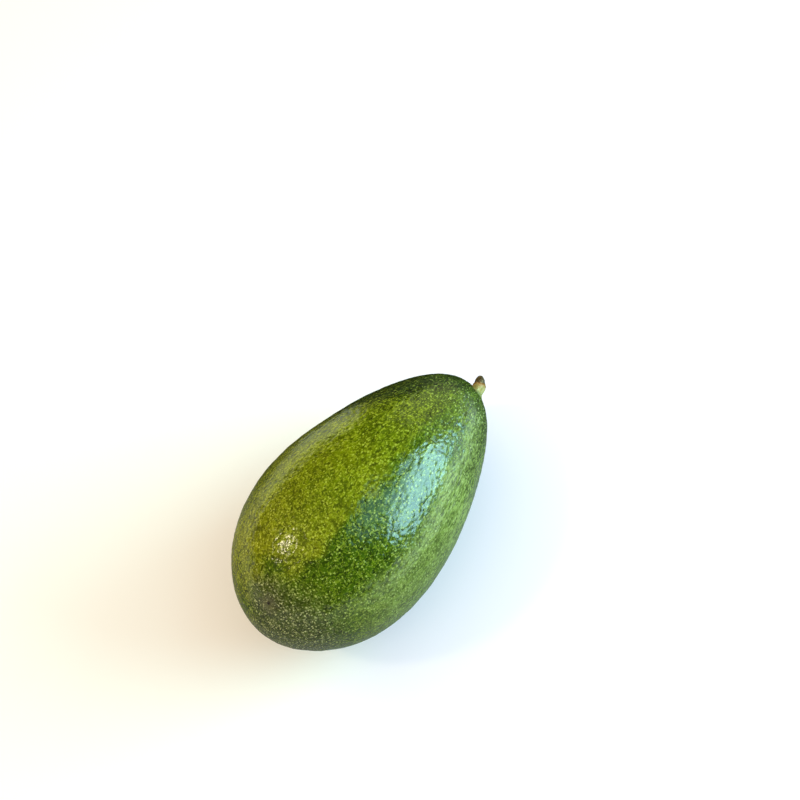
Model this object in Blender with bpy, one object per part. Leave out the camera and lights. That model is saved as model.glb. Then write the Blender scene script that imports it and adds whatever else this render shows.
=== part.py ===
"""A whole avocado lying on its side, with the short cut stem still on its narrow end.

Metres, Z up. The origin is the middle of the small flat spot that the fruit rests on. X runs
along the fruit to its stem end, and Z = 0 is the surface it lies on.
"""

import math

import bmesh
import bpy
import numpy as np
from mathutils import Matrix, Vector, noise

# The fruit's outline: an oval of this length and greatest width, with its stem half drawn in
LENGTH = 0.127
DIAMETER = 0.070
TAPER = -0.27  # share of its radius that the oval loses from its middle to the stem end
FULL_ENDS = 0.11  # share that comes back near the stem end, so that it ends round and not pointed

# How it lies: the lighter stem half settles lower than level, on a spot pressed flat
REST_TILT = math.radians(5.0)
FLAT_DEPTH = 0.0007

# The skin's relief. The pebbles are larger than on a real skin, to suit the mesh
LUMP_SIZE, LUMP_HEIGHT = 0.032, 0.0005
PEBBLE_SIZE, PEBBLE_HEIGHT = 0.0070, 0.00045
RELIEF_START = Vector((3.7, 1.3, 8.2))
GRID = 28  # squares along each edge of the cube that the body is blown up from

# The stem stub: it leaves the skin squarely beside the fruit's tip, and bends to where it leans
STEM_OFF_AXIS = 0.0040  # from the tip of the fruit, towards -Y
STEM_RISE = math.radians(10.0)
STEM_TURN = math.radians(31.0)
STEM_ROOT, STEM_REACH = 0.0030, 0.0072  # the lengths of its path before and past the bend
STEM_SIDES = 24
STEM_RIBS, RIB_HEIGHT = 5, 0.06
STEM_OUTLINE = (  # height above the skin along its path, radius
    (-0.0030, 0.0030),
    (0.0002, 0.0037),
    (0.0010, 0.0036),
    (0.0015, 0.0028),
    (0.0024, 0.0023),
    (0.0040, 0.0024),
    (0.0053, 0.0026),
    (0.0060, 0.0025),
    (0.0063, 0.0027),
    (0.0068, 0.0026),
    (0.0070, 0.0023),
    (0.0083, 0.0019),
    (0.0095, 0.0014),
    (0.0101, 0.0009),
)
RIBBED_TO = 0.0060  # the ribs stop at the brown ring

GAP = 0.0003  # between the fruit and its stem


def material(name, colour, roughness):
    made = bpy.data.materials.new(name)
    made.use_nodes = True
    shader = made.node_tree.nodes["Principled BSDF"]
    shader.inputs["Base Color"].default_value = (*colour, 1.0)
    shader.inputs["Roughness"].default_value = roughness
    shader.inputs["Metallic"].default_value = 0.0
    return made


def narrowing(t):
    """Share of the plain oval's radius at t, which runs from -1, blossom end, to 1, stem end."""
    return 1.0 + TAPER * t + FULL_ENDS * t**3


def oval_radius():
    """Radius of the plain oval that makes the narrowed body DIAMETER wide."""
    t = np.linspace(-1.0, 1.0, 2001)
    return DIAMETER / 2 / float(np.max(np.sqrt(1.0 - t**2) * narrowing(t)))


OVAL_RADIUS = oval_radius()


def resting_place():
    """Turns the fruit's axis by REST_TILT and sets the flat spot's middle at the origin."""
    t = np.linspace(-1.0, 1.0, 2001)
    along = LENGTH / 2 * t
    radius = OVAL_RADIUS * np.sqrt(1.0 - t**2) * narrowing(t)
    below = -along * math.sin(REST_TILT) - radius * math.cos(REST_TILT)
    lowest = int(np.argmin(below))
    x = along[lowest] * math.cos(REST_TILT) - radius[lowest] * math.sin(REST_TILT)
    z = below[lowest] + FLAT_DEPTH
    return Matrix.Translation((-x, 0.0, -z)) @ Matrix.Rotation(REST_TILT, 4, "Y")


RESTING = resting_place()


def smooth_point(way):
    """The place and outward normal, on the body without relief, that a unit vector leads to."""
    radius = OVAL_RADIUS * narrowing(way.x)
    place = Vector((LENGTH / 2 * way.x, radius * way.y, radius * way.z))
    slope = OVAL_RADIUS * (TAPER + 3 * FULL_ENDS * way.x**2)
    inward = slope * (1.0 - way.x**2)
    normal = Vector(((way.x * radius - inward) * 2 / LENGTH, way.y, way.z))
    return place, normal.normalized()


def relief(place):
    """Height of the skin over the smooth body: slow lumps, and close round pebbles."""
    lump = noise.noise(place / LUMP_SIZE + RELIEF_START)
    near = noise.voronoi(place / PEBBLE_SIZE + RELIEF_START)[0]
    pebble = min(1.0, 2.0 * (near[1] - near[0])) - 0.5
    return LUMP_HEIGHT * lump + PEBBLE_HEIGHT * pebble


def fruit_mesh(name, grown_by=0.0):
    """The fruit's closed skin, blown up from a cube, and pressed flat where it rests."""
    form = bmesh.new()
    bmesh.ops.create_cube(form, size=2.0)
    bmesh.ops.subdivide_edges(form, edges=form.edges[:], cuts=GRID - 1, use_grid_fill=True)
    to_fruit = RESTING.inverted()
    for vert in form.verts:
        # the tangent keeps the squares near the cube's corners as large as the others
        way = Vector([math.tan(c * math.pi / 4) for c in vert.co]).normalized()
        place, normal = smooth_point(way)
        place += normal * (relief(place) + grown_by)
        resting = RESTING @ place
        resting.z = max(resting.z, 0.0)
        vert.co = to_fruit @ resting
    bmesh.ops.triangulate(form, faces=form.faces[:])
    bmesh.ops.recalc_face_normals(form, faces=form.faces[:])
    mesh = bpy.data.meshes.new(name)
    form.to_mesh(mesh)
    form.free()
    mesh.shade_smooth()
    return mesh


def stem_ways():
    """The place where the stem leaves the fruit, the skin's outward way there, and its lean."""
    off = STEM_OFF_AXIS / (OVAL_RADIUS * narrowing(1.0))
    place, outward = smooth_point(Vector((math.sqrt(1.0 - off**2), -off, 0.0)))
    flat = math.cos(STEM_RISE)
    lean = Vector((flat * math.cos(STEM_TURN), flat * math.sin(STEM_TURN), math.sin(STEM_RISE)))
    return RESTING @ place, RESTING.to_3x3() @ outward, lean


def stem_ring(height, radius, bend):
    """One ring of the stem's skin, square to a path that starts along Z and bends towards X."""
    share = max(0.0, height / STEM_OUTLINE[-1][0])
    knee = Vector((0.0, 0.0, STEM_ROOT))
    tip = knee + STEM_REACH * Vector((math.sin(bend), 0.0, math.cos(bend)))
    middle = 2 * share * (1 - share) * knee + share**2 * tip
    way = (1 - share) * knee + share * (tip - knee)
    if height < 0.0:
        middle = Vector((0.0, 0.0, height))
    square = Vector((0.0, 0.0, 1.0)).rotation_difference(way)
    ring = []
    for side in range(STEM_SIDES):
        angle = 2 * math.pi * side / STEM_SIDES
        rib = RIB_HEIGHT * math.cos(STEM_RIBS * angle) if 0.001 < height < RIBBED_TO else 0.0
        out = Vector((math.cos(angle), math.sin(angle), 0.0)) * radius * (1.0 + rib)
        ring.append(middle + square @ out)
    return ring


def stem_mesh(name):
    _, outward, lean = stem_ways()
    bend = outward.angle(lean)
    form = bmesh.new()
    rings = []
    for height, radius in STEM_OUTLINE:
        rings.append([form.verts.new(p) for p in stem_ring(height, radius, bend)])
    for lower, upper in zip(rings, rings[1:]):
        for a in range(STEM_SIDES):
            b = (a + 1) % STEM_SIDES
            form.faces.new((lower[a], lower[b], upper[b], upper[a]))
    form.faces.new(rings[0][::-1])
    form.faces.new(rings[-1])
    bmesh.ops.recalc_face_normals(form, faces=form.faces[:])
    mesh = bpy.data.meshes.new(name)
    form.to_mesh(mesh)
    form.free()
    mesh.shade_smooth()
    mesh.set_sharp_from_angle(angle=math.radians(40))
    return mesh


def stem_place():
    """The stem's own frame: Z out of the skin, X the way that it bends."""
    place, outward, lean = stem_ways()
    across = (lean - lean.project(outward)).normalized()
    axes = Matrix((across, outward.cross(across), outward)).transposed()
    return Matrix.Translation(place) @ axes.to_4x4()


def add(name, mesh, place, parent=None):
    thing = bpy.data.objects.new(name, mesh)
    bpy.context.scene.collection.objects.link(thing)
    thing.parent = parent
    thing.matrix_world = place
    return thing


def build():
    for old in list(bpy.context.scene.objects):
        bpy.data.objects.remove(old, do_unlink=True)

    avocado = add("avocado", None, Matrix.Identity(4))

    fruit = add("fruit", fruit_mesh("fruit"), RESTING, avocado)
    fruit.data.materials.append(material("green_skin", (0.075, 0.125, 0.012), 0.38))

    # the skin grown by the gap, which trims the stem's root to sit just over the fruit
    trimmer = add("skin_trimmer", fruit_mesh("skin_trimmer", GAP), RESTING, avocado)
    trimmer.hide_render = True
    trimmer.display_type = "WIRE"

    stem = add("stem_stub", stem_mesh("stem_stub"), stem_place(), avocado)
    stem.data.materials.append(material("stem_bark", (0.42, 0.33, 0.08), 0.60))
    trim = stem.modifiers.new("root", "BOOLEAN")
    trim.operation = "DIFFERENCE"
    trim.solver = "EXACT"
    trim.object = trimmer


build()
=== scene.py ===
import math

import bmesh
import bpy
import numpy as np
from mathutils import Matrix, Quaternion, Vector, noise


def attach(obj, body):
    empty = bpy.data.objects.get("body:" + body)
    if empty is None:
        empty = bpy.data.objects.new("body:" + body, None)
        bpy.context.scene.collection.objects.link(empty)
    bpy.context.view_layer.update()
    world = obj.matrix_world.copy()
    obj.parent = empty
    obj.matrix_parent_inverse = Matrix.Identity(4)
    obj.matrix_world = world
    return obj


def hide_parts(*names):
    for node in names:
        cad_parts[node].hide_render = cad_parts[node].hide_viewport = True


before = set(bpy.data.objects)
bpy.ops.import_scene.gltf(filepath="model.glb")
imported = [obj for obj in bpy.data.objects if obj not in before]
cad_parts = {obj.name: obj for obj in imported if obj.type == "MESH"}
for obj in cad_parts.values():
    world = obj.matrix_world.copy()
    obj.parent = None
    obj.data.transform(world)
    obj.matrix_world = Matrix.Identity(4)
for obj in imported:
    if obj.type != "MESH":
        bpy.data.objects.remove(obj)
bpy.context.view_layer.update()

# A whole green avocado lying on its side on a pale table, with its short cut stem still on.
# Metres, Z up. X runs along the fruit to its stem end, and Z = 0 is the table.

BODY = "root"

# The fruit's form, as the part has it
LENGTH = 0.127
DIAMETER = 0.070
TAPER = -0.27
FULL_ENDS = 0.11
REST_TILT = math.radians(5.0)
FLAT_DEPTH = 0.0007
LUMP_SIZE, LUMP_HEIGHT = 0.032, 0.0005
RELIEF_START = Vector((3.7, 1.3, 8.2))

# The skin's own fine relief, in real sizes
SKIN_GRID = 128  # squares along each edge of the cube that the skin is blown up from
SWELL_SIZE, SWELL_HEIGHT = 0.0050, 0.00013
PEBBLE_SIZE, PEBBLE_HEIGHT = 0.0021, 0.00006
PEBBLE_WANDERS = (0.0, 17.3, 41.9)  # how far apart the noises lie that move the pebbles' middles
PEBBLE_WANDER = 0.35  # how far they move them, beside the pebbles' size
RIPPLE_SIZE, RIPPLE_HEIGHT = 0.0014, 0.00007
ROUGHER_BLUNT, ROUGHER_NECK = 0.35, 0.30  # shares that the relief gains at the blunt end and the neck
SMOOTHER_TIP = 0.5  # and the share that it loses at the stem end
SET_IN, SET_IN_BLUNT = 0.00006, 0.00026  # the skin lies this far inside the smooth form

# The skin's grain is drawn out lengthwise, from one share of the length to another, up to this much
GRAIN_FROM, GRAIN_TO, GRAIN_STRETCH = -0.75, 0.25, 2.1
GRAIN_DRAW_IN = 0.0045  # from the axis, where the grain stops getting narrower
GRAIN_NARROWS_FROM, GRAIN_NARROWS_TO = -0.6, 0.7

# The sunny side, yellow with one sharp edge, is partly the skin's own yellow and partly painted warm
# light. Turns are in degrees round the fruit's axis, from straight up towards +Y, and ends are shares
# of half the length, from the blunt end's -1 to 1
SUNNY_EDGE, SUNNY_BLUR = -16.5, 7.0
SUNNY_FAR, SUNNY_FAR_BLUR = 100.0, 26.0
SUNNY_END, SUNNY_END_BLUR = -0.62, 0.28
SUNNY_END_REACH, SUNNY_END_TURN = 0.16, 35.0  # it runs on this much farther, from this turn on
SUNNY_FADE_FROM, SUNNY_FADE_TO = 0.25, 0.95
EDGE_WANDER = 0.08  # of the zones' edges: radians round the fruit, and a share at the sunny end

# The flank's painted light: paler green with painted sheen where the window and the table's bounce
# light fall. Its edges turn as they near the stem
FLANK_EDGE, FLANK_EDGE_STEM, FLANK_BLUR = -47.0, -38.0, 14.0
FLANK_FAR, FLANK_FAR_STEM, FLANK_FAR_BLUR = -115.0, -72.0, 30.0
FLANK_LOSS_AT_STEM = 0.7

# Where the flank is shaded: from its upper edge down, not right underneath, and near the stem
SHADE_UPPER, SHADE_UNDER, SHADE_ALONG = (-40.0, -65.0), (-160.0, -110.0), (0.05, 0.45)

# Painted shade on the shoulder behind the stem, a darker green, with an edge that slants round the
# fruit
SHOULDER_SLANT, SHOULDER_SLANT_TO = 0.0108, 45.0  # for each degree, and the turn where it stops
SHOULDER_FROM, SHOULDER_TO = 0.44, 0.70
SHOULDER_NEAR, SHOULDER_FAR = (-60.0, -25.0), (100.0, 50.0)  # the turns over which it fades

# The blossom scar, above the blunt end's middle, and the middle of the dark blunt end
SCAR_WAY = Vector((-0.942, -0.030, 0.335))
SCAR_PATCH, SCAR_DOT = 0.0048, 0.0006
SCAR_PIT_RADIUS, SCAR_PIT_DEPTH = 0.0022, 0.00022
SCAR_NIB_RADIUS, SCAR_NIB_HEIGHT = 0.0006, 0.00030
DARK_END_WAY = Vector((-0.950, -0.240, 0.060))
DARK_END_LEAN = 0.9  # how much sooner the dark end stops towards +Y

# The shallow seat that the stem stands in, and the creases that run into it
SEAT_RADIUS, SEAT_DEPTH = 0.0062, 0.00035
SEAT_CREASES, CREASE_HEIGHT = 17, 0.00006

# The stem's form, as the part has it
STEM_OFF_AXIS = 0.0040
STEM_RISE = math.radians(10.0)
STEM_TURN = math.radians(31.0)
STEM_ROOT, STEM_REACH = 0.0030, 0.0072
STEM_TOP = 0.0101

# The stem's finer form
STEM_SIDES, STEM_RINGS = 72, 90
STEM_OUTLINE = (  # height above the skin along its path, radius
    (-0.0030, 0.0031),
    (-0.0006, 0.0037),
    (0.0004, 0.0037),
    (0.0010, 0.0034),
    (0.0016, 0.0028),
    (0.0026, 0.0024),
    (0.0040, 0.0025),
    (0.0052, 0.0027),
    (0.0059, 0.0026),
    (0.0062, 0.0024),
    (0.0064, 0.0027),
    (0.0068, 0.0026),
    (0.0071, 0.0023),
    (0.0082, 0.0020),
    (0.0093, 0.0015),
    (0.0099, 0.0010),
)
BROWN_RING_LOW, BROWN_RING_HIGH, BROWN_RING_CRACKS = 0.0062, 0.0070, 0.10
STEM_RIBS, RIB_SHARE, FIBRE_SHARE, WRINKLE_SHARE = 5, 0.07, 0.05, 0.03  # as shares of the radius
CUT_END_CROWN, CUT_END_ROUGHNESS = 0.00022, 0.00018

# The camera, from the photograph
PICTURE_SIDE = 800
FOCAL_PIXELS = 850
SENSOR = 36.0
FRUIT_AT = (375.28, 495.92)  # the pixel where the fruit's middle shows
FRUIT_DEPTH = 0.308
VIEW_PITCH = math.radians(54.0)
VIEW_TURN = math.radians(-55.46)

# Form shared by the skin and the stem


def narrowing(t):
    """Share of the plain oval's radius at t, from -1 at the blossom end to 1 at the stem end."""
    return 1.0 + TAPER * t + FULL_ENDS * t**3


def oval_radius():
    """Radius of the plain oval that makes the narrowed body DIAMETER wide."""
    t = np.linspace(-1.0, 1.0, 2001)
    return DIAMETER / 2 / float(np.max(np.sqrt(1.0 - t**2) * narrowing(t)))


OVAL_RADIUS = oval_radius()


def resting_place():
    """Turns the fruit's axis by REST_TILT and sets the flat spot's middle at the origin."""
    t = np.linspace(-1.0, 1.0, 2001)
    along = LENGTH / 2 * t
    radius = OVAL_RADIUS * np.sqrt(1.0 - t**2) * narrowing(t)
    below = -along * math.sin(REST_TILT) - radius * math.cos(REST_TILT)
    lowest = int(np.argmin(below))
    x = along[lowest] * math.cos(REST_TILT) - radius[lowest] * math.sin(REST_TILT)
    z = below[lowest] + FLAT_DEPTH
    return Matrix.Translation((-x, 0.0, -z)) @ Matrix.Rotation(REST_TILT, 4, "Y")


RESTING = resting_place()
TO_FRUIT = RESTING.inverted()


def smooth_point(way):
    """The place and outward normal, on the body without relief, that a unit vector leads to."""
    radius = OVAL_RADIUS * narrowing(way.x)
    place = Vector((LENGTH / 2 * way.x, radius * way.y, radius * way.z))
    slope = OVAL_RADIUS * (TAPER + 3 * FULL_ENDS * way.x**2)
    inward = slope * (1.0 - way.x**2)
    normal = Vector(((way.x * radius - inward) * 2 / LENGTH, way.y, way.z))
    return place, normal.normalized()


def stem_ways():
    """In the fruit's own frame: where the stem leaves the skin, outward there, and its lean."""
    off = STEM_OFF_AXIS / (OVAL_RADIUS * narrowing(1.0))
    place, outward = smooth_point(Vector((math.sqrt(1.0 - off**2), -off, 0.0)))
    flat = math.cos(STEM_RISE)
    lean = Vector((flat * math.cos(STEM_TURN), flat * math.sin(STEM_TURN), math.sin(STEM_RISE)))
    return place, outward, TO_FRUIT.to_3x3() @ lean


STEM_FOOT, STEM_OUT, STEM_LEAN = stem_ways()
SCAR_MIDDLE = smooth_point(SCAR_WAY.normalized())[0]
DARK_END_MIDDLE = smooth_point(DARK_END_WAY.normalized())[0]


def smoothstep(low, high, value):
    share = min(1.0, max(0.0, (value - low) / (high - low)))
    return share * share * (3.0 - 2.0 * share)


def new_piece(name, mesh, finish, slot, *replaced):
    piece = bpy.data.objects.new(name, mesh)
    bpy.context.scene.collection.objects.link(piece)
    piece.data.materials.append(finish)
    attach(piece, BODY)
    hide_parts(*replaced)


def keep_values(mesh, name, values):
    """Stores one number or one vector for each point of the mesh, for its material to read."""
    values = np.asarray(values, dtype=np.float32)
    kind, field = ("FLOAT_VECTOR", "vector") if values.ndim == 2 else ("FLOAT", "value")
    mesh.attributes.new(name, kind, "POINT").data.foreach_set(field, values.ravel())


def finished_mesh(form, name):
    """The mesh of a form that is done, with its faces turned outward and shaded smooth."""
    bmesh.ops.recalc_face_normals(form, faces=form.faces[:])
    mesh = bpy.data.meshes.new(name)
    form.to_mesh(mesh)
    form.free()
    mesh.shade_smooth()
    return mesh


# Skin


def grain_place(way, place):
    """Where a point lies in the skin's grain, which runs to the stem in lengthwise streaks."""
    ramp = GRAIN_TO - GRAIN_FROM
    share = min(1.0, max(0.0, (way.x - GRAIN_FROM) / ramp))
    drawn_out = ramp * (share**3 - share**4 / 2) + max(0.0, way.x - GRAIN_TO)
    along = LENGTH / 2 * (way.x - (1.0 - 1.0 / GRAIN_STRETCH) * drawn_out)
    across = math.hypot(place.y, place.z)
    drawn_in = math.sqrt(OVAL_RADIUS * 0.8 / max(across, GRAIN_DRAW_IN))
    narrow = smoothstep(GRAIN_NARROWS_FROM, GRAIN_NARROWS_TO, way.x)
    narrow = 1.0 + (max(1.0, drawn_in) - 1.0) * narrow
    return Vector((along, place.y * narrow, place.z * narrow))


def pebbles(grain):
    """Height of the close round pebbles at a place in the grain, from -0.5 to 0.5."""
    slow = grain / (PEBBLE_SIZE * 1.9)
    wander = [noise.noise(slow + Vector((apart, 0.0, 0.0))) for apart in PEBBLE_WANDERS]
    near = noise.voronoi(grain / PEBBLE_SIZE + Vector(wander) * PEBBLE_WANDER + RELIEF_START)[0]
    return min(1.0, 1.6 * (near[1] - near[0])) - 0.5


def skin_relief(place, grain, share_along):
    """Height of the skin over the smooth body, and how high on a pebble it is, from 0 to 1."""
    lump = noise.noise(place / LUMP_SIZE + RELIEF_START)
    swell = noise.noise(grain / SWELL_SIZE + RELIEF_START)
    pebble = pebbles(grain)
    ripple = noise.noise(grain / RIPPLE_SIZE - RELIEF_START)
    rough = 1.0 + ROUGHER_BLUNT * smoothstep(-0.3, -0.9, share_along)
    rough += ROUGHER_NECK * smoothstep(0.05, 0.45, share_along)
    rough *= 1.0 - SMOOTHER_TIP * smoothstep(0.75, 1.0, share_along)
    height = LUMP_HEIGHT * lump + SWELL_HEIGHT * swell
    height += rough * (PEBBLE_HEIGHT * pebble + RIPPLE_HEIGHT * ripple)
    height -= SET_IN + (SET_IN_BLUNT - SET_IN) * smoothstep(-0.6, -0.95, share_along)
    return height, 0.5 + 0.65 * pebble + 0.35 * ripple


def stem_seat(place):
    """The shallow seat round the stem, with fine creases running into it."""
    away = place - STEM_FOOT
    share = (away - away.project(STEM_OUT)).length / SEAT_RADIUS
    if share > 2.0:
        return 0.0
    around = math.atan2(away.z, away.y)
    crease = math.cos(SEAT_CREASES * around + 3 * math.sin(2 * around))
    crease *= CREASE_HEIGHT * math.exp(-2 * (share - 1) ** 2)
    return -SEAT_DEPTH * math.exp(-2.2 * share**2) + crease


def scar_relief(place):
    """The blossom scar: a small nib in a shallow pit."""
    away = (place - SCAR_MIDDLE).length
    pit = -SCAR_PIT_DEPTH * math.exp(-((away / SCAR_PIT_RADIUS) ** 2))
    nib = SCAR_NIB_HEIGHT * math.exp(-((away / SCAR_NIB_RADIUS) ** 2))
    return pit + nib


def turn_round(place):
    """How far round the fruit's axis a place is, from straight up towards +Y."""
    return math.atan2(place.y, place.z)


def sunny_and_flank(way, place):
    """How much of the sunny side's yellow a point has, partly painted warm light, and of the flank's
    painted window light and sheen, 0 to 1.
    """
    wander = EDGE_WANDER * noise.noise(place / 0.014 + RELIEF_START)
    wander += EDGE_WANDER * noise.noise(place / 0.0045)
    around = math.degrees(turn_round(place) + wander)
    sunny = smoothstep(SUNNY_EDGE - SUNNY_BLUR / 2, SUNNY_EDGE + SUNNY_BLUR / 2, around)
    sunny *= smoothstep(SUNNY_FAR + SUNNY_FAR_BLUR, SUNNY_FAR, around)
    end = SUNNY_END - SUNNY_END_REACH * smoothstep(0.0, SUNNY_END_TURN, around)
    sunny *= smoothstep(end - SUNNY_END_BLUR, end, way.x + wander)
    sunny *= smoothstep(SUNNY_FADE_TO, SUNNY_FADE_FROM, way.x)
    edge = FLANK_EDGE + (FLANK_EDGE_STEM - FLANK_EDGE) * smoothstep(-0.35, 0.10, way.x)
    flank = smoothstep(edge, edge - FLANK_BLUR, around)
    far_edge = FLANK_FAR + (FLANK_FAR_STEM - FLANK_FAR) * smoothstep(0.1, 0.6, way.x)
    flank *= smoothstep(far_edge - FLANK_FAR_BLUR, far_edge, around)
    flank *= smoothstep(-0.85, -0.50, way.x)
    flank *= 1.0 - FLANK_LOSS_AT_STEM * smoothstep(0.45, 0.80, way.x)
    return sunny, flank


def shoulder_shade(way, place):
    """How much painted shade, a darker green, the shoulder behind the stem has at a point, from 0 to 1.
    """
    around = math.degrees(turn_round(place))
    slanting = way.x + SHOULDER_SLANT * min(around, SHOULDER_SLANT_TO)
    slanting += 0.06 * noise.noise(place / 0.006)
    shoulder = smoothstep(SHOULDER_FROM, SHOULDER_TO, slanting)
    return shoulder * smoothstep(*SHOULDER_NEAR, around) * smoothstep(*SHOULDER_FAR, around)


def shaded_flank(way, place):
    """How much darker the flank is on its lower side near the stem, from 0 to 1."""
    around = math.degrees(turn_round(place))
    low = smoothstep(*SHADE_UPPER, around) * smoothstep(*SHADE_UNDER, around)
    return low * smoothstep(*SHADE_ALONG, way.x)


def skin_values(way, place, grain, crown):
    """What the skin's material reads at a point: the grain, the zones and the distances."""
    sunny, flank = sunny_and_flank(way, place)
    from_dark_end = (place - DARK_END_MIDDLE).length + DARK_END_LEAN * max(0.0, place.y)
    return {
        "skin_grain": grain,
        "pebble_crown": crown,
        "along_fruit": way.x,
        "sunny": sunny,
        "window_lit_flank": flank,
        "from_stem": (place - STEM_FOOT).length,
        "from_scar": (place - SCAR_MIDDLE).length,
        "from_dark_end": from_dark_end,
        "shoulder_shade": shoulder_shade(way, place),
        "shaded_flank": shaded_flank(way, place),
    }


def blow_up_skin(name):
    """The skin's mesh, blown up from a cube, and pressed flat where the fruit rests."""
    form = bmesh.new()
    bmesh.ops.create_cube(form, size=2.0)
    bmesh.ops.subdivide_edges(form, edges=form.edges[:], cuts=SKIN_GRID - 1, use_grid_fill=True)
    points = []
    for vert in form.verts:
        # the tangent keeps the squares near the cube's corners as large as the others
        way = Vector([math.tan(c * math.pi / 4) for c in vert.co]).normalized()
        place, normal = smooth_point(way)
        grain = grain_place(way, place)
        height, crown = skin_relief(place, grain, way.x)
        height += stem_seat(place) + scar_relief(place)
        points.append(skin_values(way, place, grain, crown))
        vert.co = RESTING @ (place + normal * height)
        vert.co.z = max(vert.co.z, 0.0)
    bmesh.ops.triangulate(form, faces=form.faces[:])
    mesh = finished_mesh(form, name)
    for value in points[0]:
        keep_values(mesh, value, [point[value] for point in points])
    return mesh


# Nodes for the materials


def add_node(tree, kind, inputs=None, **settings):
    """A shader node with its settings, and its inputs by name, each a number or another's output."""
    made = tree.nodes.new(kind)
    for name, value in settings.items():
        setattr(made, name, value)
    for name, value in (inputs or {}).items():
        feed(tree, made.inputs[name], value)
    return made


def feed(tree, socket, value):
    if isinstance(value, bpy.types.NodeSocket):
        tree.links.new(value, socket)
    else:
        socket.default_value = value


def socket_of(sockets, identifier):
    return next(s for s in sockets if s.identifier == identifier)


def maths(tree, operation, first, second=0.0, third=0.0):
    made = tree.nodes.new("ShaderNodeMath")
    made.operation = operation
    for socket, value in zip(made.inputs, (first, second, third)):
        feed(tree, socket, value)
    return made.outputs[0]


def product(tree, first, *others):
    """Two or more values multiplied together."""
    for other in others:
        first = maths(tree, "MULTIPLY", first, other)
    return first


def mixed(tree, share, first, second, blend="MIX"):
    """One colour laid over another, each three numbers or another node's output."""
    made = tree.nodes.new("ShaderNodeMix")
    made.data_type = "RGBA"
    made.blend_type = blend
    feed(tree, socket_of(made.inputs, "Factor_Float"), share)
    for identifier, colour in (("A_Color", first), ("B_Color", second)):
        if isinstance(colour, tuple):
            colour = (*colour, 1.0)
        feed(tree, socket_of(made.inputs, identifier), colour)
    return socket_of(made.outputs, "Result_Color")


def grey(tree, value):
    """A value as a grey, to multiply a colour by."""
    inputs = {"Red": value, "Green": value, "Blue": value}
    return add_node(tree, "ShaderNodeCombineColor", inputs).outputs[0]


def eased(tree, value, start, end, low=0.0, high=1.0):
    """A value turned into a share that goes smoothly from low at start to high at end."""
    inputs = {"From Min": start, "From Max": end, "To Min": low, "To Max": high, "Value": value}
    made = add_node(tree, "ShaderNodeMapRange", inputs, interpolation_type="SMOOTHSTEP")
    return made.outputs["Result"]


def faded(tree, distance, fade, most=1.0):
    """A share that falls smoothly from most to none between the two distances of a fade."""
    return eased(tree, distance, fade[1], fade[0], 0.0, most)


def between(tree, share, low, high):
    """The value that lies at a share of the way from low to high."""
    inputs = {"Value": share, "To Min": low, "To Max": high}
    return add_node(tree, "ShaderNodeMapRange", inputs).outputs["Result"]


def vector_maths(tree, operation, first, second=None, third=None):
    made = add_node(tree, "ShaderNodeVectorMath", operation=operation)
    for socket, value in zip(made.inputs, (first, second, third)):
        if value is not None:
            feed(tree, socket, value)
    return made


def stored(tree, name, output="Fac"):
    return add_node(tree, "ShaderNodeAttribute", attribute_name=name).outputs[output]


def new_group(name, inputs, outputs):
    """An empty node group with named sockets, and its two ends."""
    group = bpy.data.node_groups.new(name, "ShaderNodeTree")
    for label, kind, value in inputs:
        socket = group.interface.new_socket(label, in_out="INPUT", socket_type=kind)
        if value is not None:
            socket.default_value = value
    for label in outputs:
        group.interface.new_socket(label, in_out="OUTPUT", socket_type="NodeSocketFloat")
    start = group.nodes.new("NodeGroupInput")
    end = group.nodes.new("NodeGroupOutput")
    return group, start.outputs, end.inputs


def use_group(tree, group, inputs):
    made = tree.nodes.new("ShaderNodeGroup")
    made.node_tree = group
    for name, value in inputs.items():
        feed(tree, made.inputs[name], value)
    return made.outputs


def pulled_place(group, place, scale, unevenness):
    """A place scaled up, and pulled about by noise so that no cell is regular."""
    spread = vector_maths(group, "SCALE", place)
    feed(group, spread.inputs["Scale"], scale)
    spread = spread.outputs[0]
    wander = add_node(group, "ShaderNodeTexNoise", {"Vector": spread, "Scale": 1.9, "Detail": 2.0})
    middle = vector_maths(group, "SUBTRACT", wander.outputs["Color"], (0.5, 0.5, 0.5))
    pulled = vector_maths(group, "MULTIPLY_ADD", middle.outputs[0], unevenness, spread)
    return pulled.outputs[0]


def pale_dots_group():
    """Scattered dots of uneven size and edge, such as the pale pores of a fruit's skin."""
    number, vector = "NodeSocketFloat", "NodeSocketVector"
    inputs = (("Place", vector, None), ("Spacing", number, 0.0016), ("Size", number, 0.3))
    inputs += (("Edge", number, 0.1), ("Unevenness", number, 0.3))
    group, start, end = new_group("pale_dots", inputs, ("Dots", "Chance"))
    scale = maths(group, "DIVIDE", 1.0, start["Spacing"])
    pulled = pulled_place(group, start["Place"], scale, start["Unevenness"])
    cells = add_node(group, "ShaderNodeTexVoronoi", {"Vector": pulled, "Scale": 1.0})
    chance = add_node(group, "ShaderNodeSeparateColor", {"Color": cells.outputs["Color"]}).outputs[0]
    reach = product(group, start["Size"], maths(group, "MULTIPLY_ADD", chance, 0.9, 0.45))
    inner = maths(group, "SUBTRACT", reach, start["Edge"])
    outer = maths(group, "ADD", reach, start["Edge"])
    dots = eased(group, cells.outputs["Distance"], inner, outer, 1.0, 0.0)
    feed(group, end["Dots"], dots)
    feed(group, end["Chance"], chance)
    return group


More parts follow.
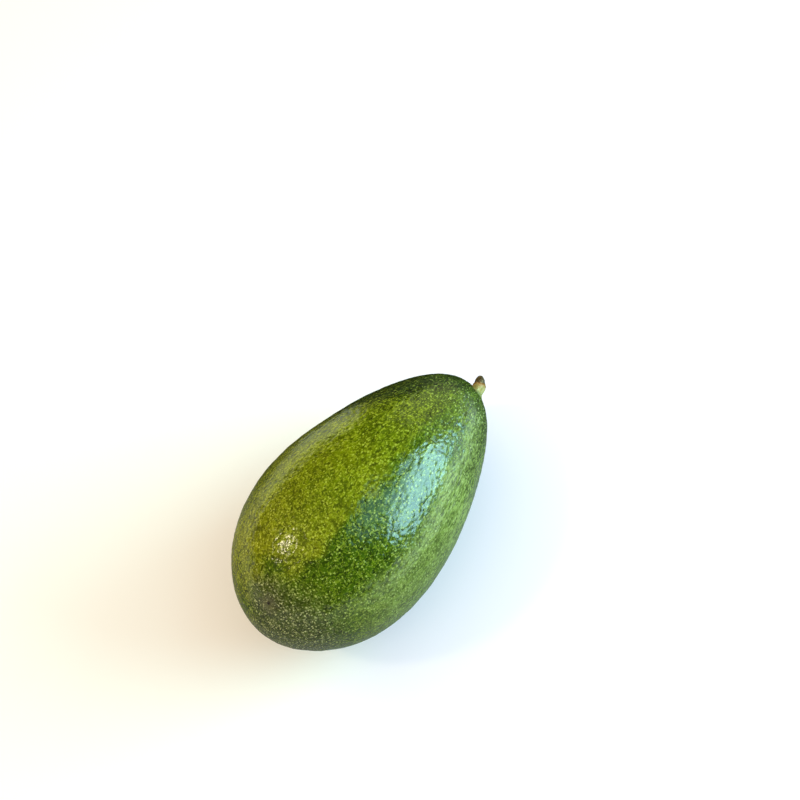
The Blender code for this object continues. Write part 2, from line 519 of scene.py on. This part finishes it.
def pale_strokes_group():
    """Short crooked marks, such as pores that have run together."""
    number, vector = "NodeSocketFloat", "NodeSocketVector"
    inputs = (("Place", vector, None), ("Spacing", number, 0.0010), ("Width", number, 0.05))
    inputs += (("Breaks", number, 0.5),)
    group, start, end = new_group("pale_strokes", inputs, ("Strokes",))
    scale = maths(group, "DIVIDE", 1.0, start["Spacing"])
    settings = {"Vector": start["Place"], "Scale": scale, "Detail": 1.0}
    wave = add_node(group, "ShaderNodeTexNoise", settings).outputs["Fac"]
    from_line = maths(group, "ABSOLUTE", maths(group, "SUBTRACT", wave, 0.5))
    line = eased(group, from_line, 0.0, start["Width"], 1.0, 0.0)
    shifted = vector_maths(group, "ADD", start["Place"], (0.31, 0.17, 0.53)).outputs[0]
    settings = {"Vector": shifted, "Scale": maths(group, "MULTIPLY", scale, 1.7), "Detail": 1.0}
    gaps = add_node(group, "ShaderNodeTexNoise", settings).outputs["Fac"]
    low = maths(group, "SUBTRACT", start["Breaks"], 0.06)
    high = maths(group, "ADD", start["Breaks"], 0.06)
    feed(group, end["Strokes"], product(group, line, eased(group, gaps, low, high)))
    return group


def cloud_group():
    """Soft uneven patches, from 0 to 1."""
    number, vector = "NodeSocketFloat", "NodeSocketVector"
    inputs = (("Place", vector, None), ("Patch", number, 0.01), ("Detail", number, 2.0))
    inputs += (("Contrast", number, 1.0),)
    group, start, end = new_group("clouds", inputs, ("Cloud",))
    scale = maths(group, "DIVIDE", 1.0, start["Patch"])
    settings = {"Vector": start["Place"], "Scale": scale, "Detail": start["Detail"]}
    cloud = add_node(group, "ShaderNodeTexNoise", settings).outputs["Fac"]
    centred = maths(group, "SUBTRACT", cloud, 0.5)
    made = maths(group, "MULTIPLY_ADD", centred, start["Contrast"], 0.5)
    feed(group, end["Cloud"], add_node(group, "ShaderNodeClamp", {"Value": made}).outputs[0])
    return group


def pebble_group():
    """Close low domes with soft valleys between them."""
    number, vector = "NodeSocketFloat", "NodeSocketVector"
    inputs = (("Place", vector, None), ("Size", number, 0.0014), ("Unevenness", number, 0.3))
    group, start, end = new_group("pebbles", inputs, ("Height", "Valley"))
    scale = maths(group, "DIVIDE", 1.0, start["Size"])
    pulled = pulled_place(group, start["Place"], scale, start["Unevenness"])
    cells = add_node(group, "ShaderNodeTexVoronoi", feature="SMOOTH_F1")
    for name, value in {"Vector": pulled, "Scale": 1.0, "Smoothness": 0.35}.items():
        feed(group, cells.inputs[name], value)
    far = cells.outputs["Distance"]
    feed(group, end["Height"], maths(group, "MULTIPLY_ADD", product(group, far, far), -1.8, 1.0))
    feed(group, end["Valley"], eased(group, far, 0.35, 0.72))
    return group


PALE_DOTS = pale_dots_group()
PALE_STROKES = pale_strokes_group()
PEBBLES = pebble_group()
CLOUDS = cloud_group()


def clouds(tree, place, patch, contrast, detail=2.0):
    inputs = {"Place": place, "Patch": patch, "Contrast": contrast, "Detail": detail}
    return use_group(tree, CLOUDS, inputs)["Cloud"]


def pale_dots(tree, place, spacing, size, edge, unevenness):
    inputs = {"Place": place, "Spacing": spacing, "Size": size, "Edge": edge}
    return use_group(tree, PALE_DOTS, {**inputs, "Unevenness": unevenness})


def new_material(name, gloss=0.5, **fixed):
    """A material, its tree and its shader, with the shader's constant values set."""
    made = bpy.data.materials.new(name)
    made.use_nodes = True
    tree = made.node_tree
    shader = tree.nodes["Principled BSDF"]
    shader.inputs["Specular IOR Level"].default_value = gloss
    for socket, value in fixed.items():
        shader.inputs[socket].default_value = value
    return made, tree, shader


# The skin's ground colours, in linear red, green and blue
LEAF_GREEN, MOSS_GREEN = (0.054, 0.106, 0.0008), (0.078, 0.130, 0.0010)
# the second colour here is painted shade on the shoulder behind the stem
DEEPEST_GREEN, SHOULDER_SHADE_GREEN = (0.046, 0.094, 0.0004), (0.024, 0.042, 0.002)
# the first colour here is the flank's painted window light and sheen
WINDOW_LIT_FLANK_GREEN, NECK_GREEN_AND_SHEEN = (0.172, 0.236, 0.038), (0.102, 0.136, 0.026)
# the sunny side's yellows here are partly the skin's own colour and partly painted warm light
SUN_YELLOW, SUN_GOLD = (0.142, 0.198, 0.0002), (0.176, 0.200, 0.0001)
SUN_AT_STEM, SUN_AT_BLUNT_END = (0.090, 0.110, 0.004), (0.214, 0.238, 0.001)
BLUNT_END_OLIVE = (0.066, 0.090, 0.008)

# The colours of the skin's pores and marks
PORE_DIM, PORE_BRIGHT = (0.180, 0.265, 0.006), (0.310, 0.390, 0.030)
PORE_UNDER_FLANK_LIGHT, PORE_IN_SHOULDER_SHADE = (0.330, 0.400, 0.090), (0.140, 0.180, 0.020)
PORE_IN_SUN, PORE_AT_SUNNY_END = (0.370, 0.400, 0.018), (0.470, 0.500, 0.040)
PORE_AT_BLUNT_END, PORE_CREAM = (0.470, 0.490, 0.240), (0.580, 0.620, 0.300)
# painted glints: pale lengthwise streaks of the window's reflection on the flank's ripples
FLANK_GLINT_STREAK = (0.400, 0.480, 0.130)
SCAR_BROWN, SCAR_DARK = (0.100, 0.082, 0.046), (0.024, 0.018, 0.013)

# How far from their middles the zones fade, from full to none: the dark blunt end, the darker
# skin round the scar, the paler neck round the stem, partly its own tone and partly painted sheen,
# and its creamier pores
BLUNT_END_FADE, SCAR_ROUND_FADE = (0.009, 0.024), (0.004, 0.012)
NECK_AND_SHEEN_FADE, CREAM_FADE = (0.006, 0.050), (0.012, 0.048)

# How far apart the marks lie, and how large each is beside that, and the width of soft patches
PORE_SPACING, PORE_SIZE, PORE_EDGE = 0.00084, 0.270, 0.045
SPECK_SPACING, SPECK_SIZE, SPECK_EDGE = 0.00080, 0.30, 0.10
STROKE_SPACING, STROKE_WIDTH, STROKE_BREAKS = 0.00120, 0.090, 0.46
BROAD_PATCH, SMALL_PATCH, FINE_PATCH, GLINT_STREAK_WIDTH = 0.020, 0.0040, 0.0012, 0.0008

# The skin's finish
SKIN_GLOSS, SKIN_ROUGHNESS, SKIN_BUMP = 0.72, 0.12, 0.000055
ROUGHER_PATCHES, ROUGHER_PORES, ROUGHER_AT_BLUNT_END = 0.10, 0.03, 0.08


def skin_zones(tree):
    """The skin's zones, each a share from 0 to 1, and the distances that some of them follow."""
    names = ("along_fruit", "sunny", "window_lit_flank", "shoulder_shade", "from_stem", "from_scar")
    zones = {name: stored(tree, name) for name in names}
    blunt = faded(tree, stored(tree, "from_dark_end"), BLUNT_END_FADE)
    round_scar = faded(tree, zones["from_scar"], SCAR_ROUND_FADE)
    zones["blunt"] = maths(tree, "MAXIMUM", blunt, round_scar)
    other = maths(tree, "MAXIMUM", zones["sunny"], zones["window_lit_flank"])
    along = zones["along_fruit"]
    deep = product(tree, maths(tree, "SUBTRACT", 1.0, other), eased(tree, along, 0.15, -0.20))
    zones["deep"] = product(tree, deep, eased(tree, along, -0.85, -0.62))
    zones["shade"] = eased(tree, stored(tree, "shaded_flank"), 0.0, 1.0, 1.0, 0.50)
    return zones


def skin_ground(tree, zones):
    """The skin's colour under its marks, zone over zone."""
    place = add_node(tree, "ShaderNodeTexCoord").outputs["Object"]
    broad = clouds(tree, place, BROAD_PATCH, 2.0)
    along = zones["along_fruit"]
    ground = mixed(tree, broad, LEAF_GREEN, MOSS_GREEN)
    ground = mixed(tree, zones["deep"], ground, DEEPEST_GREEN)
    # painted light: the flank paler green, with painted sheen, where the window and bounce light fall
    ground = mixed(tree, zones["window_lit_flank"], ground, WINDOW_LIT_FLANK_GREEN)
    # the sunny side: partly the skin's own yellow, partly painted warm light from the upper left
    yellow = mixed(tree, broad, SUN_YELLOW, SUN_GOLD)
    yellow = mixed(tree, eased(tree, along, -0.2, 0.5), yellow, SUN_AT_STEM)
    yellow = mixed(tree, eased(tree, along, -0.5, -0.8), yellow, SUN_AT_BLUNT_END)
    ground = mixed(tree, zones["sunny"], ground, yellow)
    ground = mixed(tree, product(tree, zones["blunt"], 0.9), ground, BLUNT_END_OLIVE)
    # the neck round the stem is paler and greyer: partly its own tone, partly painted sheen
    ground = mixed(tree, faded(tree, zones["from_stem"], NECK_AND_SHEEN_FADE, 0.85), ground, NECK_GREEN_AND_SHEEN)
    # painted shade: the shoulder behind the stem darker green
    return mixed(tree, zones["shoulder_shade"], ground, SHOULDER_SHADE_GREEN)


def skin_tone_and_shade(tree, zones, grain, small, pebble):
    """How much darker the skin is in its small patches, with painted shade between its pebbles, low on
    them and on the flank's lower side.
    """
    fine = clouds(tree, grain, FINE_PATCH, 2.8, 3.0)
    crown = stored(tree, "pebble_crown")
    shades = product(
        tree,
        eased(tree, small, 0.3, 0.9, 1.0, 0.78),
        eased(tree, fine, 0.25, 0.85, 1.0, 0.72),
        # painted shade: darker between the pebbles and low on them
        eased(tree, pebble["Valley"], 0.2, 1.0, 1.0, 0.68),
        eased(tree, crown, 0.05, 0.6, 0.78, 1.0),
        zones["shade"],
    )
    return grey(tree, shades)


def pore_colours(tree, zones, chance):
    """The colour of the small marks, and of the pores, which are creamier, most so near the stem."""
    sunny, shoulder = zones["sunny"], zones["shoulder_shade"]
    colour = mixed(tree, chance, PORE_DIM, PORE_BRIGHT)
    # pores are paler under the flank's painted light
    colour = mixed(tree, zones["window_lit_flank"], colour, PORE_UNDER_FLANK_LIGHT)
    # pores are yellower on the sunny side, partly their own colour and partly painted warm light
    colour = mixed(tree, sunny, colour, PORE_IN_SUN)
    sunny_end = product(tree, sunny, eased(tree, zones["along_fruit"], -0.4, -0.8))
    colour = mixed(tree, sunny_end, colour, PORE_AT_SUNNY_END)
    colour = mixed(tree, zones["blunt"], colour, PORE_AT_BLUNT_END)
    # pores are darker under the shoulder's painted shade
    colour = mixed(tree, product(tree, shoulder, 0.7), colour, PORE_IN_SHOULDER_SHADE)
    creaminess = faded(tree, zones["from_stem"], CREAM_FADE, 0.9)
    creaminess = product(tree, creaminess, eased(tree, shoulder, 0.0, 1.0, 1.0, 0.2))
    creaminess = maths(tree, "MAXIMUM", creaminess, eased(tree, sunny, 0.0, 1.0, 0.17, 0.06))
    return colour, mixed(tree, creaminess, colour, PORE_CREAM)


def marked_skin(tree, zones, ground, grain, fibres, small, pores):
    """The ground with the flank's painted glints, and its specks, short strokes and round pores."""
    mark_colour, dot_colour = pore_colours(tree, zones, pores["Chance"])

    # painted glints on the flank: pale lengthwise streaks where the window's reflection breaks up on
    # the ripples
    streaks = eased(tree, clouds(tree, fibres, GLINT_STREAK_WIDTH, 4.0), 0.45, 0.95, 0.0, 0.6)
    neck = eased(tree, zones["along_fruit"], -0.35, 0.15, 0.15, 1.0)
    streaks = product(tree, streaks, zones["window_lit_flank"], neck, zones["shade"])
    colour = mixed(tree, streaks, ground, FLANK_GLINT_STREAK)

    specks = pale_dots(tree, grain, SPECK_SPACING, SPECK_SIZE, SPECK_EDGE, 0.9)
    share = product(tree, specks["Dots"], product(tree, specks["Chance"], 0.6))
    colour = mixed(tree, share, colour, mark_colour)

    settings = {"Spacing": STROKE_SPACING, "Width": STROKE_WIDTH, "Breaks": STROKE_BREAKS}
    strokes = use_group(tree, PALE_STROKES, {"Place": grain, **settings})["Strokes"]
    strokes = product(tree, strokes, eased(tree, small, 0.2, 0.9, 1.0, 0.45))
    strokes = product(tree, strokes, eased(tree, zones["blunt"], 0.0, 1.0, 0.6, 0.2))
    colour = mixed(tree, strokes, colour, mark_colour)

    share = product(tree, pores["Dots"], eased(tree, pores["Chance"], 0.0, 1.0, 0.40, 0.90))
    return mixed(tree, share, colour, dot_colour)


def scar_stain(tree, from_scar, colour):
    """The brown patch round the blossom scar, and the dark point in it."""
    patch = eased(tree, from_scar, SCAR_PATCH, 0.0008, 0.0, 0.5)
    colour = mixed(tree, patch, colour, SCAR_BROWN)
    return mixed(tree, eased(tree, from_scar, SCAR_DOT * 1.4, SCAR_DOT * 0.6), colour, SCAR_DARK)


def avocado_skin():
    made, tree, shader = new_material("avocado_skin", SKIN_GLOSS, IOR=1.5)
    zones = skin_zones(tree)
    grain = stored(tree, "skin_grain", "Vector")
    fibres = add_node(tree, "ShaderNodeMapping", {"Vector": grain, "Scale": (0.4, 1.0, 1.0)}).outputs[0]
    small = clouds(tree, grain, SMALL_PATCH, 2.6, 3.0)
    pebble = use_group(tree, PEBBLES, {"Place": grain, "Size": 0.00150, "Unevenness": 0.6})
    pores = pale_dots(tree, grain, PORE_SPACING, PORE_SIZE, PORE_EDGE, 1.0)

    shades = skin_tone_and_shade(tree, zones, grain, small, pebble)
    ground = mixed(tree, 1.0, skin_ground(tree, zones), shades, "MULTIPLY")
    colour = marked_skin(tree, zones, ground, grain, fibres, small, pores)
    feed(tree, shader.inputs["Base Color"], scar_stain(tree, zones["from_scar"], colour))

    patches = clouds(tree, grain, 0.0009, 1.5)
    roughness = maths(tree, "MULTIPLY_ADD", patches, ROUGHER_PATCHES, SKIN_ROUGHNESS)
    roughness = maths(tree, "MULTIPLY_ADD", pores["Dots"], ROUGHER_PORES, roughness)
    roughness = maths(tree, "MULTIPLY_ADD", zones["blunt"], ROUGHER_AT_BLUNT_END, roughness)
    feed(tree, shader.inputs["Roughness"], roughness)

    ripple = product(tree, clouds(tree, fibres, 0.0006, 1.6), 0.25)
    height = maths(tree, "MULTIPLY_ADD", pores["Dots"], 0.10, ripple)
    height = maths(tree, "ADD", pebble["Height"], height)
    bump = add_node(tree, "ShaderNodeBump", {"Strength": 1.0, "Distance": SKIN_BUMP, "Height": height})
    feed(tree, shader.inputs["Normal"], bump.outputs["Normal"])
    return made


# Stem


def stem_radius(height):
    """The stem's radius by a smooth curve through its outline's points."""
    heights = [h for h, _ in STEM_OUTLINE]
    radii = [r for _, r in STEM_OUTLINE]
    at = max(1, min(len(heights) - 1, int(np.searchsorted(heights, height))))
    before, after = at - 1, at
    first, last = max(0, before - 1), min(len(heights) - 1, after + 1)
    span = heights[after] - heights[before]
    share = (height - heights[before]) / span
    rise_a = (radii[after] - radii[first]) / (heights[after] - heights[first]) * span
    rise_b = (radii[last] - radii[before]) / (heights[last] - heights[before]) * span
    square, cube = share**2, share**3
    return (
        (2 * cube - 3 * square + 1) * radii[before]
        + (cube - 2 * square + share) * rise_a
        + (3 * square - 2 * cube) * radii[after]
        + (cube - square) * rise_b
    )


def stem_frame(height, bend):
    """The middle of the stem's path at a height, and the turn that sets a ring square to it."""
    share = max(0.0, height / STEM_TOP)
    knee = Vector((0.0, 0.0, STEM_ROOT))
    tip = knee + STEM_REACH * Vector((math.sin(bend), 0.0, math.cos(bend)))
    middle = 2 * share * (1 - share) * knee + share**2 * tip
    way = (1 - share) * knee + share * (tip - knee)
    if height < 0.0:
        middle = Vector((0.0, 0.0, height))
    return middle, Vector((0.0, 0.0, 1.0)).rotation_difference(way)


def bark_relief(height, angle):
    """Ribs, fibres, wrinkles and the ring's cracks on the stem, as a share of its radius."""
    x, y = math.cos(angle), math.sin(angle)
    ribs = RIB_SHARE * math.cos(STEM_RIBS * angle + 0.4)
    ribs *= smoothstep(0.0012, 0.0024, height) * smoothstep(0.0064, 0.0054, height)
    fibre = noise.noise(Vector((x * 5.0, y * 5.0, height * 500)))
    wrinkle = noise.noise(Vector((x * 2.0, y * 2.0, height * 1700)))
    dry = smoothstep(0.0069, 0.0076, height)
    relief = ribs + FIBRE_SHARE * fibre * (1 + dry) + WRINKLE_SHARE * wrinkle * (1 + 1.5 * dry)
    if BROWN_RING_LOW < height < BROWN_RING_HIGH:
        relief += BROWN_RING_CRACKS * noise.noise(Vector((x * 3.1, y * 3.1, 9.0)))
    return relief


def bark_ring(height, bend):
    """One ring of the stem's bark, square to its bent path."""
    middle, turn = stem_frame(height, bend)
    ring = []
    for side in range(STEM_SIDES):
        angle = 2 * math.pi * side / STEM_SIDES
        radius = stem_radius(height) * (1.0 + bark_relief(height, angle))
        ring.append(middle + turn @ (Vector((math.cos(angle), math.sin(angle), 0.0)) * radius))
    return ring


def cut_end_ring(rim, share, bend):
    """One ring of the stem's dry cut end, at a share of the way out to its rim."""
    middle, turn = stem_frame(STEM_OUTLINE[-1][0], bend)
    ring = []
    for side, edge in enumerate(rim):
        angle = 2 * math.pi * side / STEM_SIDES
        spot = Vector((math.cos(angle) * share * 3, math.sin(angle) * share * 3, 4.2))
        rise = CUT_END_CROWN * (1 - share**2) + CUT_END_ROUGHNESS * noise.noise(spot)
        ring.append(middle + (edge - middle) * share + turn @ Vector((0.0, 0.0, rise)))
    return ring


def stem_form(name):
    """The stem's mesh: rings up its bark, and smaller ones over its cut end."""
    bend = STEM_OUT.angle(STEM_LEAN)
    heights = np.linspace(STEM_OUTLINE[0][0], STEM_OUTLINE[-1][0], STEM_RINGS).tolist()
    places = [bark_ring(height, bend) for height in heights]
    rim = places[-1]
    places += [cut_end_ring(rim, share, bend) for share in (0.8, 0.6, 0.4, 0.2)]
    heights += [STEM_TOP] * (len(places) - len(heights))
    form = bmesh.new()
    rings = [[form.verts.new(place) for place in ring] for ring in places]
    for lower, upper in zip(rings, rings[1:]):
        for a in range(STEM_SIDES):
            b = (a + 1) % STEM_SIDES
            form.faces.new((lower[a], lower[b], upper[b], upper[a]))
    form.faces.new(rings[0][::-1])
    form.faces.new(rings[-1])
    bmesh.ops.triangulate(form, faces=form.faces[-2:])
    mesh = finished_mesh(form, name)
    keep_values(mesh, "up_stem", np.repeat(heights, STEM_SIDES))
    keep_values(mesh, "stem_grain", [v.co for v in mesh.vertices])
    mesh.transform(stem_place())
    return mesh


def stem_place():
    """The stem's own frame: Z out of the skin, X the way that it bends."""
    across = (STEM_LEAN - STEM_LEAN.project(STEM_OUT)).normalized()
    axes = Matrix((across, STEM_OUT.cross(across), STEM_OUT)).transposed()
    return RESTING @ Matrix.Translation(STEM_FOOT) @ axes.to_4x4()


# The stem's colours
BARK_PALE, BARK_CREAM, BARK_FIBRE = (0.38, 0.32, 0.08), (0.56, 0.47, 0.18), (0.28, 0.19, 0.03)
FOOT_GREEN, RUST, DRY_TIP = (0.17, 0.19, 0.03), (0.40, 0.17, 0.035), (0.20, 0.15, 0.07)
RING_DARK, RING_BROWN, BARK_SPECK = (0.042, 0.020, 0.004), (0.11, 0.060, 0.012), (0.62, 0.52, 0.26)

# How far up the stem they reach: the green foot's fade, the rust's ragged start and its end, and
# the dark ring's start and full strength
FOOT_FADE, RUST_FROM, RUST_TO, RUST_RAGGED = (0.0010, 0.0030), 0.0046, 0.0064, 0.0022
RING_FROM, RING_FULL = 0.0062, 0.0068


def stem_bark():
    made, tree, shader = new_material("stem_bark", IOR=1.45)
    place = stored(tree, "stem_grain", "Vector")
    up = stored(tree, "up_stem")
    blotch = clouds(tree, place, 0.0022, 2.2, 3.0)
    drawn = add_node(tree, "ShaderNodeMapping", {"Vector": place, "Scale": (1.0, 1.0, 0.22)}).outputs[0]
    fibres = clouds(tree, drawn, 0.0005, 2.4, 3.0)

    colour = mixed(tree, blotch, BARK_PALE, BARK_CREAM)
    colour = mixed(tree, eased(tree, fibres, 0.45, 0.9, 0.0, 0.6), colour, BARK_FIBRE)
    colour = mixed(tree, faded(tree, up, FOOT_FADE, 0.8), colour, FOOT_GREEN)
    centred = maths(tree, "SUBTRACT", up, RUST_RAGGED / 2)
    ragged = maths(tree, "MULTIPLY_ADD", blotch, RUST_RAGGED, centred)
    colour = mixed(tree, eased(tree, ragged, RUST_FROM, RUST_TO, 0.0, 0.9), colour, RUST)
    brown = mixed(tree, fibres, RING_DARK, RING_BROWN)
    colour = mixed(tree, eased(tree, up, RING_FROM, RING_FULL), colour, brown)
    colour = mixed(tree, eased(tree, up, STEM_OUTLINE[-1][0] - 0.0003, STEM_TOP), colour, DRY_TIP)
    specks = pale_dots(tree, place, 0.0009, 0.30, 0.1, 0.4)
    colour = mixed(tree, product(tree, specks["Dots"], 0.35), colour, BARK_SPECK)
    feed(tree, shader.inputs["Base Color"], colour)

    feed(tree, shader.inputs["Roughness"], maths(tree, "MULTIPLY_ADD", fibres, 0.25, 0.35))
    height = maths(tree, "MULTIPLY_ADD", blotch, 0.5, fibres)
    bump = add_node(tree, "ShaderNodeBump", {"Strength": 0.7, "Distance": 0.00015, "Height": height})
    feed(tree, shader.inputs["Normal"], bump.outputs["Normal"])
    return made


# Table, light and camera. Their turns are in degrees round from +X

TABLE_HALF, TABLE_GAP = 3.0, 0.00005

# The white cloth's colour as seen, tinted with painted warm light on one side and painted cool light on
# the other, and plain far off
CLOTH_WARM_LIGHT_SEEN, CLOTH_COOL_LIGHT_SEEN = (1.0, 0.93, 0.97), (0.93, 0.80, 0.96)
CLOTH_SEEN_FAR = (0.96, 0.96, 0.96)

# Its lightness as it lights the fruit, and in the skin's gloss: under the fruit, beside it, farther
# off, and in one bright patch. One side is dim in both
CLOTH_BRIGHT, CLOTH_DIM, CLOTH_DIM_SIDE = 0.32, 0.06, 26.0
CLOTH_GLOSS_UNDER, CLOTH_GLOSS_NEAR, CLOTH_GLOSS_FAR = 0.25, 0.16, 0.80
CLOTH_COOL_SIDE, CLOTH_WARM_SIDE, CLOTH_SEEN_COOL_SIDE = -35.0, 60.0, -60.0
BRIGHT_PATCH, BRIGHT_PATCH_SIDE = 0.5, 58.0

# The distances from the fruit's middle between which the cloth goes from one to the next
UNDER_TO_NEAR, NEAR_TO_FAR, PATCH_STARTS = (0.065, 0.105), (0.14, 0.28), (0.13, 0.18)
SEEN_NEAR_TO_FAR = (0.25, 0.60)

# The room's light on the fruit, warm from its left and cool from its right, and the room's
# brightness in the skin's gloss and behind the table
ROOM_WARM, ROOM_COOL = (1.25, 1.10, 0.74), (0.58, 0.65, 0.68)
ROOM_WARM_SIDE, ROOM_DIM_SIDE = 150.0, 38.0
ROOM_DIM = 0.3  # how bright the dim side is, beside the rest
ROOM_GLOSS, ROOM_SEEN = (0.006, 0.006, 0.006), (0.95, 0.95, 0.95)

LIGHT_DISTANCE = 0.9
LIGHTS = (  # name, turn and rise, width and height, colour, brightness, roll in degrees
    ("window", (-46.5, 21.0), (0.84, 0.36), (0.44, 0.88, 0.96), 9.4, -12.0),
    ("window_top", (-42.0, 38.0), (0.60, 0.22), (0.42, 0.88, 0.85), 3.8, -12.0),
    ("window_glow", (-58.0, 58.0), (0.60, 0.34), (0.42, 1.00, 0.90), 1.3, 0.0),
    ("far_wall", (2.0, 9.0), (0.80, 0.42), (0.90, 1.00, 0.48), 0.58, 0.0),
    ("left_wall", (70.0, 3.0), (0.75, 0.30), (0.90, 1.00, 0.38), 1.5, 0.0),
    ("warm_lamp", (141.0, 47.0), (0.07, 0.07), (1.00, 0.87, 0.60), 72.0, 0.0),
)


def direction(turn, rise):
    """A unit vector by its turn round from +X and its rise, in degrees."""
    turn, rise = math.radians(turn), math.radians(rise)
    return Vector((math.cos(rise) * math.cos(turn), math.cos(rise) * math.sin(turn), math.sin(rise)))


def facing(tree, way, turn):
    """How nearly a direction goes level, by a turn in degrees round from +X: from -1 to 1."""
    return vector_maths(tree, "DOT_PRODUCT", way, direction(turn, 0.0)).outputs["Value"]


def cloth_gloss(tree, way, distance):
    """The cloth's lightness where the skin's gloss shows it."""
    cool = eased(tree, facing(tree, way, CLOTH_COOL_SIDE), 0.2, 0.8)
    near = eased(tree, cool, 0.0, 1.0, CLOTH_GLOSS_NEAR, CLOTH_GLOSS_NEAR / 2)
    near = between(tree, eased(tree, distance, *UNDER_TO_NEAR), CLOTH_GLOSS_UNDER, near)
    near = product(tree, near, eased(tree, facing(tree, way, CLOTH_WARM_SIDE), 0.70, 0.93, 1.0, 0.15))
    far = eased(tree, cool, 0.0, 1.0, CLOTH_GLOSS_FAR * 0.6, CLOTH_GLOSS_FAR)
    gloss = between(tree, eased(tree, distance, *NEAR_TO_FAR), near, far)
    dim = eased(tree, facing(tree, way, CLOTH_DIM_SIDE), 0.70, 0.90, 1.0, 0.1)
    patch = eased(tree, facing(tree, way, BRIGHT_PATCH_SIDE), 0.975, 0.992)
    patch = product(tree, patch, eased(tree, distance, *PATCH_STARTS, 0.0, BRIGHT_PATCH))
    return maths(tree, "MAXIMUM", product(tree, gloss, dim), patch)


def white_cloth():
    made, tree, shader = new_material("white_cloth", 0.1, Roughness=0.95)
    place = add_node(tree, "ShaderNodeNewGeometry").outputs["Position"]
    way = vector_maths(tree, "NORMALIZE", place).outputs[0]
    distance = vector_maths(tree, "LENGTH", place).outputs["Value"]
    lighting = eased(tree, facing(tree, way, CLOTH_DIM_SIDE), 0.45, 0.85, CLOTH_BRIGHT, CLOTH_DIM)
    gloss = cloth_gloss(tree, way, distance)
    # painted light on the cloth as seen: warm on one side, cool on the other
    cool = eased(tree, facing(tree, way, CLOTH_SEEN_COOL_SIDE), -0.35, 0.45)
    seen = mixed(tree, cool, CLOTH_WARM_LIGHT_SEEN, CLOTH_COOL_LIGHT_SEEN)
    seen = mixed(tree, eased(tree, distance, *SEEN_NEAR_TO_FAR), seen, CLOTH_SEEN_FAR)
    rays = add_node(tree, "ShaderNodeLightPath").outputs
    shown = mixed(tree, rays["Is Glossy Ray"], grey(tree, lighting), grey(tree, gloss))
    shown = mixed(tree, rays["Is Camera Ray"], shown, seen)
    feed(tree, shader.inputs["Base Color"], shown)
    return made


def lay_table():
    form = bmesh.new()
    bmesh.ops.create_grid(form, x_segments=1, y_segments=1, size=TABLE_HALF)
    mesh = bpy.data.meshes.new("table")
    form.to_mesh(mesh)
    form.free()
    mesh.materials.append(white_cloth())
    table = bpy.data.objects.new("table", mesh)
    bpy.context.scene.collection.objects.link(table)
    table.location.z = -TABLE_GAP


def soft_light(name, place, size, colour, brightness, roll):
    """A rectangular light facing the fruit, rolled about its middle by an angle in degrees.

    Its brightness is the same however large it is.
    """
    towards = direction(*place)
    lamp = bpy.data.lights.new(name, "AREA")
    lamp.shape = "RECTANGLE"
    lamp.size, lamp.size_y = size
    lamp.color = colour
    lamp.energy = brightness * math.pi * size[0] * size[1]
    light = bpy.data.objects.new(name, lamp)
    bpy.context.scene.collection.objects.link(light)
    light.location = Vector((0.0, 0.0, DIAMETER / 2)) + towards * LIGHT_DISTANCE
    light.rotation_mode = "QUATERNION"
    rolled = Quaternion((0.0, 0.0, 1.0), math.radians(roll))
    light.rotation_quaternion = towards.to_track_quat("Z", "Y") @ rolled


def light_room():
    """A dim room: pale behind the table, softly bright all round, and dark in the skin's gloss."""
    room = bpy.data.worlds.new("room")
    room.use_nodes = True
    tree = room.node_tree
    way = add_node(tree, "ShaderNodeTexCoord").outputs["Generated"]
    light = mixed(tree, eased(tree, facing(tree, way, ROOM_WARM_SIDE), -1.0, 1.0), ROOM_COOL, ROOM_WARM)
    dimming = eased(tree, facing(tree, way, ROOM_DIM_SIDE), 0.40, 0.90, 1.0, ROOM_DIM)
    light = mixed(tree, 1.0, light, grey(tree, dimming), "MULTIPLY")
    rays = add_node(tree, "ShaderNodeLightPath").outputs
    light = mixed(tree, rays["Is Glossy Ray"], light, ROOM_GLOSS)
    light = mixed(tree, rays["Is Camera Ray"], light, ROOM_SEEN)
    feed(tree, tree.nodes["Background"].inputs["Color"], light)
    bpy.context.scene.world = room


def light_scene():
    for light in LIGHTS:
        soft_light(*light)
    light_room()
    bpy.context.scene.view_settings.view_transform = "Standard"


def set_camera():
    flat = math.cos(VIEW_PITCH)
    forward = Vector((-math.sin(VIEW_TURN) * flat, math.cos(VIEW_TURN) * flat, -math.sin(VIEW_PITCH)))
    right = Vector((math.cos(VIEW_TURN), math.sin(VIEW_TURN), 0.0))
    up = right.cross(forward)
    across = (FRUIT_AT[0] - PICTURE_SIDE / 2) / FOCAL_PIXELS
    down = (FRUIT_AT[1] - PICTURE_SIDE / 2) / FOCAL_PIXELS
    place = RESTING.translation - (forward + right * across - up * down) * FRUIT_DEPTH
    lens = bpy.data.cameras.new("camera")
    lens.sensor_width = SENSOR
    lens.lens = SENSOR * FOCAL_PIXELS / PICTURE_SIDE
    lens.clip_start = 0.01
    camera = bpy.data.objects.new("camera", lens)
    bpy.context.scene.collection.objects.link(camera)
    axes = Matrix((right, up, -forward)).transposed()
    camera.matrix_world = Matrix.Translation(place) @ axes.to_4x4()
    bpy.context.scene.camera = camera


new_piece("avocado_skin", blow_up_skin("avocado_skin"), avocado_skin(), "green_skin", "fruit")
new_piece("cut_stem", stem_form("cut_stem"), stem_bark(), "stem_bark", "stem_stub")
lay_table()
light_scene()
set_camera()
